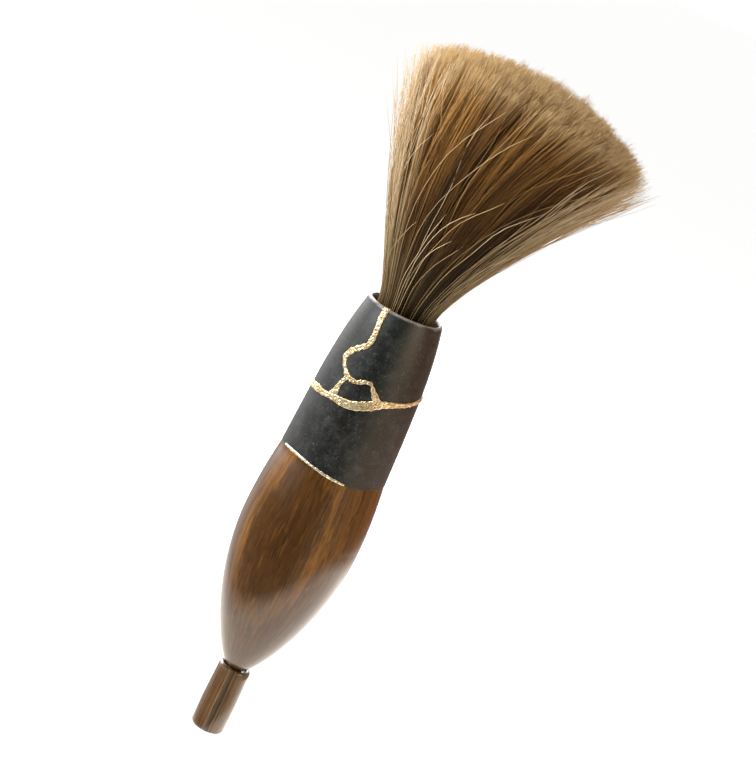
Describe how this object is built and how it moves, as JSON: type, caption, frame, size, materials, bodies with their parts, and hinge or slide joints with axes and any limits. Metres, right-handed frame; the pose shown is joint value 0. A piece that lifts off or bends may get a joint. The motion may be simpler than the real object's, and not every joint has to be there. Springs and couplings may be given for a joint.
{
  "type": "calligraphy brush",
  "caption": "Large calligraphy mop brush: flared natural hair tuft in a dark ceramic collar mended with raised gold seams, on an egg-shaped lacquered wood grip with a short end stub.",
  "frame": {"origin": "centre of the end stub's flat end, the brush's far end from the hair", "axes": "+Z along the brush from the end stub to the hair; -Y is the front, the side with the branched gold seam; the loose tuft leans towards +X"},
  "size_m": [0.0849, 0.0862, 0.2425],
  "materials": {
    "lacquered_wood": "gloss",
    "stub_wood": "gloss",
    "dark_glaze": "satin",
    "gold_lacquer": "satin",
    "pale_gold": "polished",
    "cement": "matte",
    "resin": "gloss",
    "thread": "matte",
    "hair": "satin"
  },
  "bodies": {
    "handle": {"handle_body": "lacquered_wood", "finial": "stub_wood", "finial_dowel": "stub_wood", "ferrule_lower": "dark_glaze", "ferrule_upper": "dark_glaze", "ferrule_chip": "dark_glaze", "seam_ring": "gold_lacquer", "seam_branch": "gold_lacquer", "seam_leg": "gold_lacquer", "joint_line": "pale_gold", "ferrule_cement": "cement", "root_resin": "resin", "root_binding": "thread", "hair_root": "hair"},
    "neck": {"tuft_neck": "hair"},
    "tuft": {"tuft_core": "hair", "tuft_mantle": "hair"}
  },
  "joints": [
    {"name": "tuft_sway", "type": "hinge", "parent": "handle", "child": "neck", "pos_m": [0, 0, 0.157], "axis": [1, 0, 0], "range_deg": [-25, 25], "stiffness_Nm_per_rad": 0.25},
    {"name": "tuft_lean", "type": "hinge", "parent": "neck", "child": "tuft", "pos_m": [0, 0, 0.171], "axis": [0, 1, 0], "range_deg": [-25, 25], "stiffness_Nm_per_rad": 0.25}
  ]
}
